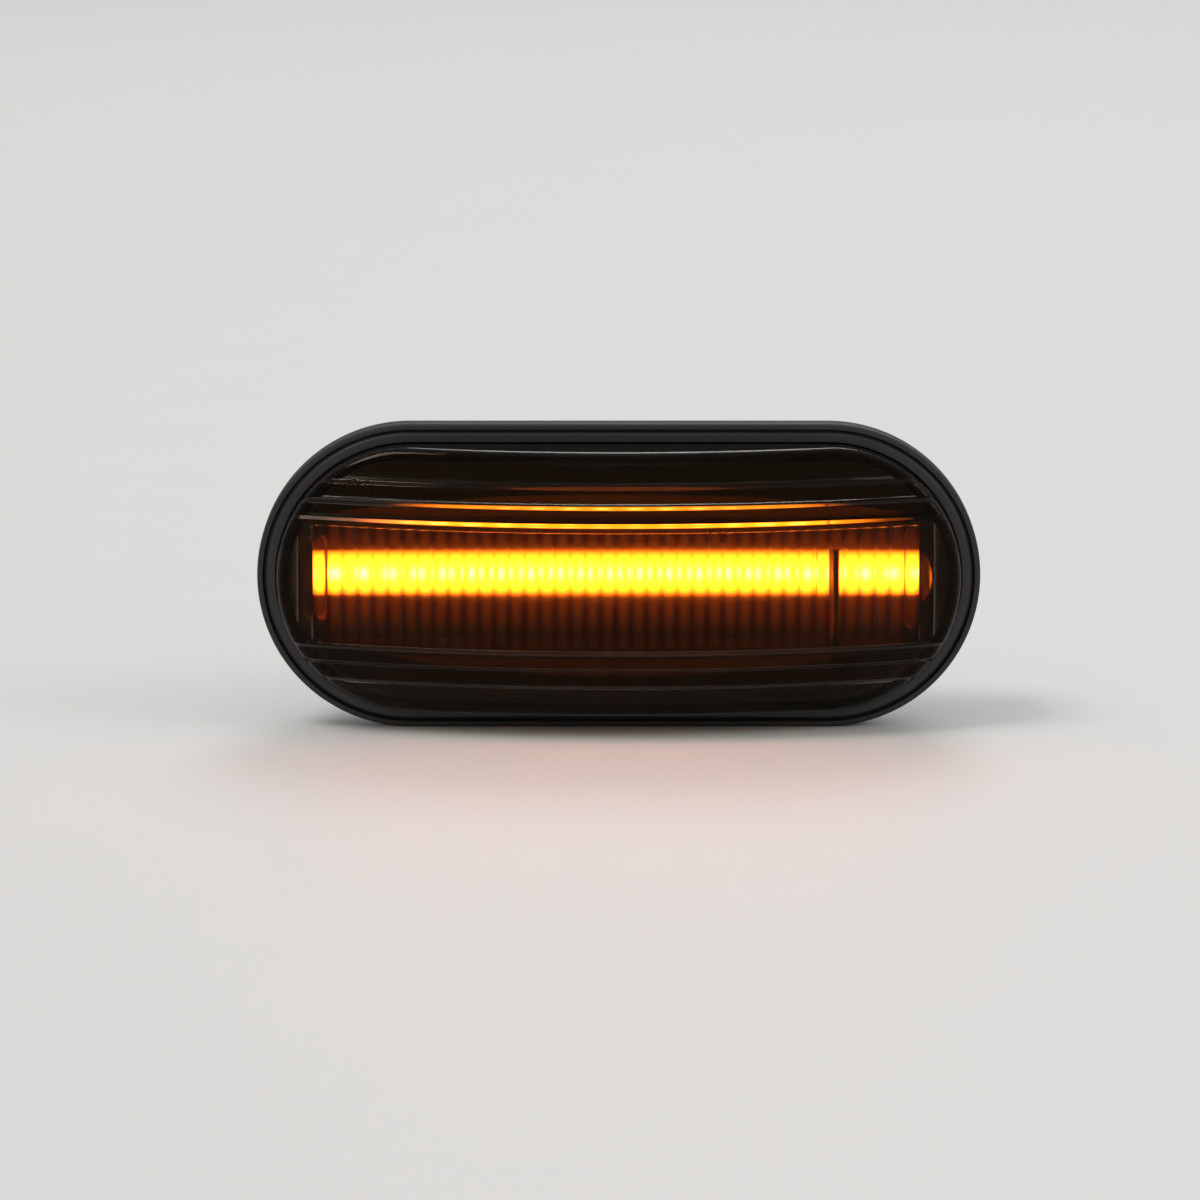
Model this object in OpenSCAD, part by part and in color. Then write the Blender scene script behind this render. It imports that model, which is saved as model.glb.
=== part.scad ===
// Side repeater lamp with a running row of LEDs, for an oblong cut-out in a body panel.
// X runs along the lamp, +Z is up, and the lens faces -Y.
// The origin is the middle of the gasket's seat on the panel, so y is the depth behind the panel's face.

/* [Lens] */
// Length of the lens, end to end
lens_l = 91.6; // [84:0.2:110]
// Height of the lens, which is also the width of its round ends
lens_h = 36; // [34:0.5:44]
// How far the lens stands out of the panel at its middle
lens_out = 15.5; // [14.5:0.5:20]
// Radius of the lens face along its length
lens_r = 118; // [112:1:200]
// Wall of the lens
lens_wall = 2.1; // [1.6:0.1:2.6]
// How much the lens skirt leans in over its whole depth
lens_draft = 0.5; // [0:0.1:1]

/* [Lens face] */
// Height of the fluted band
band_h = 16.8; // [14:0.2:18]
// Height of each ledge on the shoulders
ledge_h = 0.5; // [0.3:0.1:0.8]
// Depth of the first ledge, at the edge of the band
ledge_1_d = 0.48; // [0.3:0.02:0.8]
// Depth of the second ledge
ledge_2_d = 0.8; // [0.4:0.1:1.2]
// Depth of the third ledge
ledge_3_d = 0.6; // [0.4:0.1:1.2]
// Height from the first ledge to the second
tread_1 = 2.2; // [1.4:0.1:3]
// Height from the second ledge to the third
tread_2 = 2.5; // [1.4:0.1:3]
// Depth lost per mm of height on the treads
tread_slope = 0.2; // [0.1:0.01:0.5]
// Depth lost per mm of height above the third ledge
brow_slope = 0.47; // [0.3:0.01:0.8]

/* [Flutes] */
// Number of flutes on the inside of the band
flute_count = 44; // [30:2:50]
// Spacing of the flutes
flute_pitch = 2; // [1.6:0.1:2.4]
// Radius of each flute's crest
flute_r = 1.6; // [1.4:0.05:2.5]
// How far the row of flutes is shifted along the lamp
flute_shift = -0.4; // [-0.5:0.1:0.5]
// Bare strip between the flutes' upper ends and the first ledge
flute_stop = 0.9; // [0.4:0.1:1.4]

/* [Flange and gasket] */
// How far the flange stands out round the lens
rim_w = 1.6; // [1:0.1:3]
// Thickness of the flange
flange_t = 2; // [1.8:0.1:3]
// Depth of the groove that the lens skirt stands in
groove_d = 1; // [0.6:0.1:1.2]
// Thickness of the sealant in the groove
seal_t = 0.35; // [0.2:0.05:0.5]
// Thickness of the gasket between flange and panel
gasket_t = 1.6; // [1:0.1:2.5]
// Thickness of the gasket's lip round the flange
lip_t = 0.8; // [0.5:0.1:1.5]

/* [Tub] */
// How far the tub stands in from the lens outline at its ends
tub_in_x = 1.8; // [1.6:0.1:2.5]
// Height of the tub, which is also the width of its round ends
tub_h = 28; // [26.5:0.5:29]
// Depth of the tub behind the panel's face
tub_depth = 13; // [12.5:0.5:16]
// Wall of the tub
tub_wall = 1.6; // [1.2:0.1:1.8]
// Chamfer round the back of the tub
tub_chamfer = 1; // [0.4:0.1:1.4]
// Radius of the posts that bear on the board's back
post_r = 1.8; // [1.4:0.1:2]
// Distance of the posts from the board's ends
post_in = 5; // [4:0.5:6]
// Distance of the posts from the middle, up and down
post_z = 3; // [2.5:0.1:3.5]
// Place of the vent along the lamp
vent_x = 22; // [16:0.5:28]
// Radius of the breather membrane
vent_r = 4; // [3:0.1:5]
// Thickness of the breather membrane
vent_t = 0.25; // [0.2:0.05:0.4]
// Height of the ring round the membrane
vent_ring_t = 0.8; // [0.5:0.1:1.2]

/* [Bulb holder neck] */
// Place of the neck along the lamp
neck_x = -8; // [-12:0.5:-4]
// Length of the neck behind the tub
neck_l = 12; // [10:0.5:16]
// Radius of the bore at the neck's mouth, where the holder seals
mouth_r = 9.6; // [9.4:0.1:10.5]
// Length of that bore
mouth_l = 4; // [3:0.5:5]
// Radius of the neck inside, behind the mouth
neck_r = 9; // [8.6:0.1:9.2]
// Wall of the neck at its mouth
neck_wall = 1.6; // [1.2:0.1:2.2]
// Width of the bayonet slots
slot_w = 4; // [3:0.5:4.5]
// Angle that the holder turns to lock
slot_turn = 32; // [20:1:40]

/* [Wedge base] */
// Width of the wedge tongue
tongue_w = 9.4; // [9:0.1:10]
// Thickness of the wedge tongue
tongue_t = 2.2; // [2:0.1:2.6]
// How far the tongue's tip stays behind the mouth bore
tongue_gap = 0.5; // [0.4:0.1:2]
// Spacing of the two contact strips
strip_pitch = 5.4; // [4.8:0.1:5.8]
// Width of a contact strip
strip_w = 1.4; // [1:0.1:1.8]
// Thickness of a contact strip
strip_t = 0.25; // [0.2:0.05:0.35]

/* [Bezel] */
// Air between the lens and the bezel behind it
bezel_gap = 0.8; // [0.5:0.1:1.2]
// Wall of the bezel
bezel_wall = 1.4; // [1.2:0.1:1.8]
// Air between the bezel's sides and the lens skirt
bezel_side = 0.4; // [0.3:0.05:0.6]
// Wall at the round ends of the channel and the funnel
end_wall = 1.1; // [0.8:0.1:1.4]
// Height of the channel that the light bar looks through, at its back
channel_h = 16.2; // [13.6:0.2:16.4]
// Height of the channel at the bezel's front
flare_h = 24.4; // [18:0.2:25]
// Depth from the front of the lens to the end of the channel's flare
flare_in = 5.2; // [4.6:0.2:6]
// Depth of the funnel between the channel and the light bar
funnel_d = 3.4; // [2.6:0.2:3.6]

/* [Light bar] */
// Height of the light bar
bar_h = 6; // [5:0.2:7]
// How far the light bar's face lies in front of the panel's face
bar_out = 0.7; // [0.3:0.1:1]
// Thickness of the light bar
bar_t = 1.6; // [1.2:0.1:2]
// Height of the flange behind the light bar
bar_foot_h = 7.8; // [7.4:0.2:8.4]
// Thickness of that flange
bar_foot_t = 1.2; // [0.8:0.1:1.4]
// How far the light bar stays short of the tub's hollow at each end
bar_end = 1.9; // [1.8:0.1:3]
// Place of the bezel's rib that divides the light bar
division_x = 28.6; // [20:0.1:32]
// Width of that rib
division_w = 0.5; // [0.4:0.1:1]
// How far the rib's front stays behind the light bar's face
division_in = 0.7; // [0.4:0.1:0.8]
// Width of the blade that rises in front of that rib, close behind the lens
blade_w = 0.5; // [0.4:0.1:1]
// Depth of that blade
blade_d = 1; // [0.8:0.1:1.6]

/* [Board] */
// Depth of the light chamber between light bar and board
chamber_t = 3.2; // [2.8:0.1:3.6]
// Thickness of the board
board_t = 1.2; // [0.8:0.1:1.6]
// Height of the board
board_h = 19; // [18.4:0.2:21]
// How far the board stays short of the tub's hollow at each end
board_end = 1.4; // [0.6:0.1:1.8]
// Number of LEDs
led_count = 18; // [12:1:20]
// Length of an LED
led_l = 3.5; // [2.8:0.1:3.6]
// Height of an LED
led_h = 2.8; // [2:0.1:3]
// Thickness of an LED
led_t = 0.8; // [0.6:0.1:1]
// How far the last LED stays short of the light bar's end
led_margin = 1; // [0.6:0.1:1.6]
// Distance of the screws from the middle, along the lamp
screw_x = 27; // [24:0.5:29]
// Distance of the screws from the middle, up and down
screw_z = 7.2; // [7:0.1:7.4]
// Radius of a screw's shank
screw_r = 0.9; // [0.7:0.05:1]
// Length of a screw's shank
screw_l = 6; // [5:0.5:6.5]
// Radius of a screw's head
head_r = 1.9; // [1.6:0.1:2.2]
// Thickness of a screw's head
head_t = 1.4; // [1:0.1:1.6]
// Radius of the bosses that the screws go into
boss_r = 2.2; // [1.8:0.1:2.4]

/* [Clip and hook] */
// Thickness of the panel's rim that the lamp is made for
panel_t = 2.2; // [2.1:0.1:3]
// How far the hook reaches past the tub
hook_reach = 3; // [2:0.1:3.2]
// Width of the hook
hook_w = 10; // [8:0.5:12]
// Thickness of the hook
hook_t = 2.4; // [2:0.1:3]
// Width of the clip's seat strip
clip_w = 8; // [7:0.5:9]
// Thickness of the clip's steel
clip_t = 0.5; // [0.3:0.05:0.5]
// How far the clip's leaf bulges past its seat
clip_bulge = 3; // [2.4:0.1:3.1]

/* [Fits] */
// Clearance between pieces that slip together
slip = 0.1; // [0.05:0.05:0.2]
// Clearance round pieces that lie loose in a cavity
loose = 0.3; // [0.2:0.05:0.4]

/* [Hidden] */
$fn = 64;
fine = 180;      // facets of the long curves in a preview
over = 0.5;      // how far a cutter runs past the face that it cuts
axis_y = lens_r - lens_out;
inner_r = lens_r - lens_wall;
flute_rise = flute_r - sqrt(pow(flute_r, 2) - pow(flute_pitch / 2, 2));
flange_y = -gasket_t - flange_t;
groove_y = flange_y + groove_d;
skirt_y = groove_y - seal_t;
flange_l = lens_l + 2 * rim_w;
flange_h = lens_h + 2 * rim_w;
tub_l = lens_l - 2 * tub_in_x;
hollow_l = tub_l - 2 * tub_wall;
hollow_h = tub_h - 2 * tub_wall;
floor_y = tub_depth - tub_wall;
mouth_y = tub_depth + neck_l;
neck_out_r = mouth_r + neck_wall;
tip_y = mouth_y - mouth_l - tongue_gap;
bar_y = -bar_out;
foot_y = bar_y + bar_t;
chamber_y = foot_y + bar_foot_t;
board_y = chamber_y + chamber_t;
back_y = board_y + board_t;
bar_l = hollow_l - 2 * bar_end;
bar_spans = [[-bar_l / 2, division_x - division_w / 2], [division_x + division_w / 2, bar_l / 2]];
board_l = hollow_l - 2 * board_end;
chamber_l = board_l - 2 * slip;
post_x = board_l / 2 - post_in;
chamber_h = 2 * (screw_z - boss_r - slip);
led_pitch = (bar_l - led_l - 2 * led_margin) / (led_count - 1);
bezel_l = lens_l - 2 * (lens_wall + bezel_side);
bezel_h = lens_h - 2 * (lens_wall + bezel_side);
funnel_y = bar_y - funnel_d;
flare_y = -lens_out + flare_in;
leaf_w = clip_w - 1.6;
resistor_in = 9.5;   // distances of the small parts from the board's ends
diode_in = 12;
capacitor_in = 19;
driver_in = 27;
transistor_in = 20;
resistor_x = resistor_in - board_l / 2;
resistor_pitch = 2.2;
diode_x = diode_in - board_l / 2;
capacitor_x = capacitor_in - board_l / 2;
driver_x = board_l / 2 - driver_in;
transistor_x = board_l / 2 - transistor_in;
transistor_pitch = 4;
parts_z = 3.2;
resistor = [1.6, 3.2, 0.6];         // length, height and thickness of each small part
driver = [4.9, 3.9, 1.6];
driver_pitch = 1.27;
transistor = [1.4, 2.9, 1.1];
diode = [4.3, 2.6, 2.2];
capacitor_size = [3.5, 2.8, 1.9];
lead = [0.4, 1.3, 0.25];
strip_foot = 3;      // length of a contact strip's foot on the board
stand_off = 0.1;     // air under a chip's body
strip_z = tongue_t / 2;
joint = [0.9, 0.5, 0.6];            // foot radius, tip radius and height of a solder joint
cross = [2.2, 0.5, 0.8];            // length, width and depth of a screw's cross recess
wedge_body_w = tongue_w + 0.6;
wedge_body_t = tongue_t + 1.4;
rib_t = 1.4;         // gussets at the hook and at the neck
flange_edge = 0.5;   // chamfer round the flange's front
vent_hole_r = 1;
lock_in = 3.2;       // depth of the bayonet's locking slots behind the mouth bore
lock_w = 3;          // width of those slots
rail = 1.4;          // walls of the clip's seat
catch_t = 0.7;       // lips that keep the clip in its seat
catch_in = 2;        // how far the lips stop short of the seat's ends
seat_in = 4;         // how far the clip's seat reaches into the tub
pad_x = tub_l / 2 + 2 * slip;
pad_y = panel_t + slip;

// Outlines and solids of revolution

// A solid with round ends: the half section holds x outwards from the centre line and y as the depth
module oblong_turn(l, h) {
  for (side = [-1, 1])
    translate([side * (l - h) / 2, 0, 0])
      rotate([-90, 0, 0])
        rotate_extrude()
          children();
  rotate([0, -90, 0])
    linear_extrude(l - h, center = true) {
      children();
      mirror([1, 0])
        children();
    }
}

// A plain block with round ends from depth y0 to y1, leaning in by lean at y0
module oblong(l, h, y0, y1, lean = 0) {
  oblong_turn(l, h)
    polygon([[0, y0], [h / 2 - lean, y0], [h / 2, y1], [0, y1]]);
}

// A box from depth y0 to y1, centred on x and z
module slab(x, z, y0, y1) {
  translate([-x / 2, y0, -z / 2])
    cube([x, y1 - y0, z]);
}

// A round bar along the depth
module rod(r, y0, y1) {
  translate([0, y0, 0])
    rotate([-90, 0, 0])
      cylinder(h = y1 - y0, r = r);
}

// A section in height and depth, run along the lamp from x0 to x1
module run(x0, x1) {
  translate([(x0 + x1) / 2, 0, 0])
    rotate([0, -90, 0])
      linear_extrude(x1 - x0, center = true)
        children();
}

// A plan in x and depth, run up and down the lamp
module plate(w) {
  linear_extrude(w, center = true)
    children();
}

// Half of the stepped face, as [height, depth] from the middle up: shrink moves the steps inwards
function face_steps(shrink) = let(
  z1 = band_h / 2 - shrink,
  z2 = z1 + tread_1,
  z3 = z2 + tread_2,
  z4 = lens_h / 2 + over,
  d1 = ledge_1_d,
  d2 = d1 + (tread_1 - ledge_h) * tread_slope,
  d3 = d2 + ledge_2_d + (tread_2 - ledge_h) * tread_slope)
  [[z1, 0], [z1 + ledge_h, d1],
   [z2, d2], [z2 + ledge_h, d2 + ledge_2_d],
   [z3, d3], [z3 + ledge_h, d3 + ledge_3_d],
   [z4, d3 + ledge_3_d + (z4 - z3 - ledge_h) * brow_slope]];

// Everything behind the stepped face, set back from the lens's outside
module behind_face(back, shrink = 0) {
  steps = face_steps(shrink);
  top = [for (s = steps) [lens_r - back - s[1], s[0]]];
  low = [for (i = [len(steps) - 1 : -1 : 0]) [lens_r - back - steps[i][1], -steps[i][0]]];
  translate([0, axis_y, 0])
    rotate_extrude($fn = fine)
      polygon(concat([[0, -lens_h / 2 - over]], low, top, [[0, lens_h / 2 + over]]));
}

// Lens

function flute_x(i) = (i - (flute_count - 1) / 2) * flute_pitch + flute_shift;
function inner_y(x) = axis_y - sqrt(pow(inner_r, 2) - pow(x, 2));

// The air behind the fluted band, less the flutes' crests, which stop short of the upper ledge
module fluted_air() {
  difference() {
    linear_extrude(band_h, center = true)
      intersection() {
        translate([0, axis_y])
          circle(r = inner_r, $fn = 4 * fine);
        translate([-lens_l / 2, -lens_out])
          square([lens_l, lens_out + skirt_y]);
      }
    translate([0, 0, -band_h / 2 - over])
      linear_extrude(band_h + over - flute_stop)
        for (i = [0 : flute_count - 1])
          translate([flute_x(i), inner_y(flute_x(i)) + flute_rise - flute_r])
            circle(r = flute_r);
  }
}

module lens() {
  color("DimGray", 0.5)
    difference() {
      intersection() {
        oblong(lens_l, lens_h, -lens_out - over, skirt_y, lens_draft);
        behind_face(0);
      }
      intersection() {
        oblong(lens_l - 2 * lens_wall, lens_h - 2 * lens_wall, -lens_out - over, skirt_y + over, lens_draft);
        union() {
          fluted_air();
          difference() {
            behind_face(lens_wall);
            slab(lens_l, band_h, -lens_out, skirt_y + 2 * over);
          }
        }
      }
    }
}

// The bead fills the groove's floor under the lens skirt
module lens_seal() {
  color("Gray")
    difference() {
      oblong(lens_l, lens_h, skirt_y, groove_y);
      oblong(lens_l - 2 * lens_wall, lens_h - 2 * lens_wall, skirt_y - over, groove_y + over);
    }
}

// Bezel

module screw_places() {
  for (x = [-screw_x, screw_x], z = [-screw_z, screw_z])
    translate([x, 0, z])
      children();
}

// The bezel's body in front of the flange, or the same set back by its wall
module bezel_form(back) {
  intersection() {
    behind_face(lens_wall + bezel_gap + back, (lens_wall + bezel_gap + back) / 2);
    oblong(bezel_l - 2 * back, bezel_h - 2 * back, -lens_out, flange_y + (back > 0 ? over : 0));
  }
}

// The funnel's walls stand behind the flange's face, inside the tub
module funnel_walls() {
  wide = channel_h / 2 + bezel_wall;
  narrow = bar_h / 2 + slip + bezel_wall;
  intersection() {
    run(-lens_l / 2, lens_l / 2)
      polygon([[-wide, flange_y - over], [-wide, funnel_y + bar_t], [-narrow, foot_y],
               [narrow, foot_y], [wide, funnel_y + bar_t], [wide, flange_y - over]]);
    oblong(hollow_l - 2 * loose, hollow_h - 2 * loose, flange_y - over, foot_y);
  }
}

// Section of the channel, which flares towards the front: grow makes it taller by that much on each side
module channel_section(grow) {
  back = channel_h / 2 + grow;
  front = flare_h / 2 + grow;
  polygon([[-back, funnel_y], [-front, flare_y], [-front, -lens_out - over],
           [front, -lens_out - over], [front, flare_y], [back, funnel_y]]);
}

// The channel in front of the light bar, and the funnel that narrows to it
module channel_air() {
  wide = channel_h / 2;
  narrow = bar_h / 2 + slip;
  inset = 2 * (loose + end_wall);
  intersection() {
    run(-lens_l / 2, lens_l / 2)
      channel_section(0);
    oblong(bezel_l - 2 * end_wall, bezel_h - 2 * end_wall, -lens_out - over, flange_y);
  }
  intersection() {
    run(-lens_l / 2, lens_l / 2)
      polygon([[-wide, funnel_y - over], [-wide, funnel_y], [-narrow, bar_y],
               [narrow, bar_y], [wide, funnel_y], [wide, funnel_y - over]]);
    oblong(hollow_l - inset, hollow_h - inset, funnel_y - over, foot_y);
  }
}

// The two windows that the light bar stands in, with the dividing rib set back between them
module bar_windows() {
  high = bar_h + 2 * slip;
  for (span = bar_spans)
    run(span[0], span[1])
      translate([-high / 2, bar_y - over])
        square([high, bar_t + 2 * over]);
  run(bar_spans[0][1] - over, bar_spans[1][0] + over)
    translate([-high / 2, bar_y - over])
      square([high, division_in + over]);
}

// The blade rises from the channel's lower wall, in line with the rib, to just above the light bar
module blade() {
  front_y = axis_y - sqrt(pow(inner_r - bezel_gap, 2) - pow(division_x, 2));
  rear_y = front_y + blade_d;
  low = channel_h / 2;
  foot = flare_h / 2;
  tip = 0.75 * bar_h;
  run(division_x - blade_w / 2, division_x + blade_w / 2)
    polygon([[-foot, front_y], [-foot, funnel_y], [-low, rear_y], [tip, rear_y], [tip, front_y]]);
}

module bezel() {
  color("#151515")
    difference() {
      union() {
        difference() {
          bezel_form(0);
          difference() {
            bezel_form(bezel_wall);
            run(-lens_l / 2, lens_l / 2)
              channel_section(bezel_wall);
            slab(lens_l, channel_h + 2 * bezel_wall, funnel_y - over, 0);
          }
        }
        funnel_walls();
        screw_places()
          rod(boss_r, flange_y - over, board_y);
      }
      difference() {
        channel_air();
        blade();
      }
      bar_windows();
      screw_places()
        rod(screw_r + slip / 2, back_y - screw_l - over, board_y + over);
    }
}

// Light bar and light chamber

// A milky bar with a crowned face and a flange behind it, in one span between the bezel's window edges
module diffuser(span) {
  crown_r = 1.5 * bar_h;
  x0 = span[0];
  x1 = span[1];
  color("#f4ead8") {
    run(x0 + slip, x1 - slip)
      intersection() {
        translate([-bar_h / 2, bar_y])
          square([bar_h, bar_t + over]);
        translate([0, bar_y + crown_r])
          circle(r = crown_r, $fn = fine);
      }
    run(x0 + slip, x1 - slip)
      translate([-bar_foot_h / 2, foot_y])
        square([bar_foot_h, bar_foot_t]);
  }
}

module diffuser_long() {
  diffuser(bar_spans[0]);
}

module diffuser_short() {
  diffuser(bar_spans[1]);
}

module light_chamber() {
  near_led = led_h / 2 + loose;
  near_bar = bar_h / 2;
  color("White")
    difference() {
      oblong(chamber_l, chamber_h, chamber_y, board_y);
      run(-bar_l / 2 + loose, bar_l / 2 - loose)
        polygon([[-near_bar, chamber_y - over], [-near_bar, chamber_y], [-near_led, board_y],
                 [-near_led, board_y + over], [near_led, board_y + over], [near_led, board_y],
                 [near_bar, chamber_y], [near_bar, chamber_y - over]]);
    }
}

// Board and what is soldered to it

module led_board() {
  color("ForestGreen")
    difference() {
      oblong(board_l, board_h, board_y, back_y);
      screw_places()
        rod(screw_r + 2 * slip, board_y - over, back_y + over);
    }
}

// Each LED is a small block with a round dish for its phosphor
module led_chips() {
  color("Khaki")
    for (i = [0 : led_count - 1])
      translate([(i - (led_count - 1) / 2) * led_pitch, 0, 0])
        difference() {
          slab(led_l, led_h, board_y - led_t, board_y);
          translate([0, board_y - led_t - 0.01, 0])
            rotate([-90, 0, 0])
              cylinder(h = led_t / 3, r1 = 0.42 * led_h, r2 = 0.32 * led_h);
        }
}

module resistors() {
  color("Black")
    for (i = [0 : 7])
      translate([resistor_x + resistor_pitch * i, 0, -parts_z])
        slab(resistor[0], resistor[1], back_y, back_y + resistor[2]);
}

module driver_chip() {
  color("DimGray")
    translate([driver_x, 0, 0]) {
      slab(driver[0], driver[1], back_y + stand_off, back_y + driver[2]);
      for (i = [-1.5 : 1 : 1.5], side = [-1, 1])
        translate([driver_pitch * i, 0, side * (driver[1] + lead[1] - stand_off) / 2])
          slab(lead[0], lead[1], back_y, back_y + lead[2]);
    }
}

module transistors() {
  color("DimGray")
    for (i = [0 : 2])
      translate([transistor_x + transistor_pitch * i, 0, 0]) {
        slab(transistor[0], transistor[1], back_y + stand_off, back_y + transistor[2]);
        for (place = [[-1, 0], [1, -1], [1, 1]])
          translate([place[0] * 1.4 * transistor[0] / 2, 0, place[1] * transistor[1] / 3])
            slab(lead[1] / 2, lead[0], back_y, back_y + lead[2]);
      }
}

module polarity_diode() {
  color("DimGray")
    translate([diode_x, 0, parts_z]) {
      slab(diode[0], diode[1], back_y + stand_off, back_y + diode[2]);
      slab(1.2 * diode[0], 0.6 * diode[1], back_y, back_y + lead[2]);
    }
}

module capacitor() {
  color("Goldenrod")
    translate([capacitor_x, 0, parts_z])
      slab(capacitor_size[0], capacitor_size[1], back_y, back_y + capacitor_size[2]);
}

// Pan-head screws, with their threads left plain
module board_screws() {
  color("Silver")
    screw_places()
      difference() {
        union() {
          rod(screw_r, back_y - screw_l, back_y);
          rod(head_r, back_y, back_y + head_t);
        }
        for (turn = [0, 90])
          rotate([0, turn, 0])
            slab(cross[0], cross[1], back_y + head_t - cross[2], back_y + head_t + over);
      }
}

// Contacts and wedge base

module strip_places() {
  for (side = [-1, 1])
    translate([neck_x + side * strip_pitch / 2, 0, 0])
      children();
}

// Each strip has a foot on the board, runs out along the tongue and folds back over its tip
module contact_strips() {
  end_y = tub_depth + 2;
  color("Goldenrod")
    strip_places()
      rotate([0, -90, 0])
        linear_extrude(strip_w, center = true)
          polygon([[strip_z, back_y], [strip_z + strip_foot, back_y], [strip_z + strip_foot, back_y + strip_t],
                   [strip_z + strip_t, back_y + strip_t], [strip_z + strip_t, tip_y + strip_t],
                   [-strip_z - strip_t, tip_y + strip_t], [-strip_z - strip_t, end_y],
                   [-strip_z, end_y], [-strip_z, tip_y], [strip_z, tip_y]]);
}

module solder_joints() {
  color("LightGray")
    strip_places()
      translate([0, back_y + strip_t, strip_z + 2 * strip_foot / 3])
        rotate([-90, 0, 0])
          cylinder(h = joint[2], r1 = joint[0], r2 = joint[1]);
}

module wedge_base() {
  root_w = wedge_body_w + 3;
  root_h = 7;
  tip = 0.8;
  color("#26262a")
    difference() {
      translate([neck_x, 0, 0]) {
        slab(root_w, root_h, floor_y - tub_wall + slip, floor_y);
        slab(wedge_body_w, wedge_body_t, floor_y - over, tub_depth + over);
        plate(tongue_t)
          polygon([[-tongue_w / 2, tub_depth], [-tongue_w / 2, tip_y - tip],
                   [-tongue_w / 2 + tip, tip_y], [tongue_w / 2 - tip, tip_y],
                   [tongue_w / 2, tip_y - tip], [tongue_w / 2, tub_depth]]);
      }
      strip_places()
        translate([0, 0, strip_z + (strip_t + slip) / 2])
          slab(strip_w + 2 * slip, strip_t + slip, floor_y - 2, tub_depth + 1);
    }
}

// Housing

// The groove round the flange that the lens is sealed in
module lens_groove() {
  difference() {
    oblong(lens_l + 2 * slip, lens_h + 2 * slip, flange_y - over, groove_y);
    oblong(lens_l - 2 * lens_wall - 2 * slip, lens_h - 2 * lens_wall - 2 * slip,
           flange_y - 2 * over, groove_y + over);
  }
}

// The hook goes behind the panel first, and two gussets hold it to the tub's end
module hook() {
  root_x = tub_l / 2 - tub_wall;
  tip_x = tub_l / 2 + hook_reach;
  back = pad_y + hook_t;
  nose = 1;
  gusset_l = 4;
  gusset_z = (hook_w - rib_t) / 2;
  plate(hook_w)
    polygon([[-root_x, pad_y], [-tip_x, pad_y], [-tip_x, back - nose], [-tip_x + nose, back], [-root_x, back]]);
  for (z = [-gusset_z, gusset_z])
    translate([0, 0, z])
      plate(rib_t)
        polygon([[-root_x, back - over], [-tip_x + nose, back - over], [-root_x, back + gusset_l]]);
}

// The spring clip slides into this seat from behind
module clip_seat() {
  root_x = tub_l / 2 - seat_in;
  rail_z = clip_w / 2 + slip;
  lip_x = pad_x + clip_t + slip;
  lip_z = leaf_w / 2 + loose;
  lip_w = rail_z + rail - lip_z;
  translate([(root_x + pad_x) / 2, 0, 0])
    slab(pad_x - root_x, 2 * (rail_z + rail), pad_y, tub_depth - tub_chamfer);
  for (side = [-1, 1]) {
    translate([(pad_x - over + lip_x + catch_t) / 2, 0, side * (rail_z + rail / 2)])
      slab(lip_x + catch_t - pad_x + over, rail, pad_y + catch_in, tub_depth - catch_in);
    translate([lip_x + catch_t / 2, 0, side * (lip_z + lip_w / 2)])
      slab(catch_t, lip_w, pad_y + catch_in, tub_depth - catch_in);
  }
}

// Two slots let the holder's lugs in, and a turn locks them
module bayonet_slots() {
  slot_y = mouth_y - mouth_l - lock_in;
  for (turn = [0, 180])
    rotate([0, turn, 0]) {
      translate([(neck_r + neck_out_r) / 2, 0, 0])
        slab(neck_out_r - neck_r + 2 * over, slot_w, slot_y, mouth_y + over);
      rotate([-90, 0, 0])
        rotate_extrude(angle = slot_turn)
          translate([neck_r - over, slot_y])
            square([neck_out_r - neck_r + 2 * over, lock_w]);
    }
}

module neck_gussets() {
  gusset_z = 6;
  wall_x = sqrt(pow(neck_out_r, 2) - pow(gusset_z, 2));
  near = wall_x - neck_wall / 2;
  tip = wall_x + 0.2;
  foot = neck_out_r + 4;
  gusset_y = mouth_y - mouth_l - lock_in - loose;
  for (side = [-1, 1], z = [-gusset_z, gusset_z])
    translate([0, 0, z])
      plate(rib_t)
        polygon([[side * near, tub_depth - over], [side * foot, tub_depth - over],
                 [side * tip, gusset_y], [side * near, gusset_y]]);
}

module housing() {
  color("#1c1c1e")
    difference() {
      union() {
        oblong_turn(flange_l, flange_h)
          polygon([[0, flange_y], [flange_h / 2 - flange_edge, flange_y], [flange_h / 2, flange_y + flange_edge],
                   [flange_h / 2, -gasket_t], [0, -gasket_t]]);
        oblong_turn(tub_l, tub_h)
          polygon([[0, -gasket_t - over], [tub_h / 2, -gasket_t - over],
                   [tub_h / 2, tub_depth - tub_chamfer],
                   [tub_h / 2 - tub_chamfer, tub_depth], [0, tub_depth]]);
        translate([neck_x, 0, 0]) {
          rod(neck_out_r, tub_depth - over, mouth_y);
          neck_gussets();
        }
        hook();
        clip_seat();
        translate([vent_x, 0, 0])
          rod(vent_r + slip + vent_ring_t, tub_depth - over, tub_depth + vent_ring_t);
      }
      difference() {
        oblong(hollow_l, hollow_h, flange_y - over, floor_y);
        for (x = [-post_x, post_x], z = [-post_z, post_z])
          translate([x, 0, z])
            rod(post_r, back_y, floor_y + over);
      }
      lens_groove();
      translate([neck_x, 0, 0]) {
        rod(neck_r, tub_depth, mouth_y + over);
        rod(mouth_r, mouth_y - mouth_l, mouth_y + over);
        bayonet_slots();
        slab(wedge_body_w + 2 * slip, wedge_body_t + 2 * slip, floor_y - over, tub_depth + over);
      }
      translate([vent_x, 0, 0]) {
        rod(vent_hole_r, floor_y - over, tub_depth + over);
        rod(vent_r + slip, tub_depth, tub_depth + vent_ring_t + over);
      }
    }
}

// Gasket, clip and vent

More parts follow.
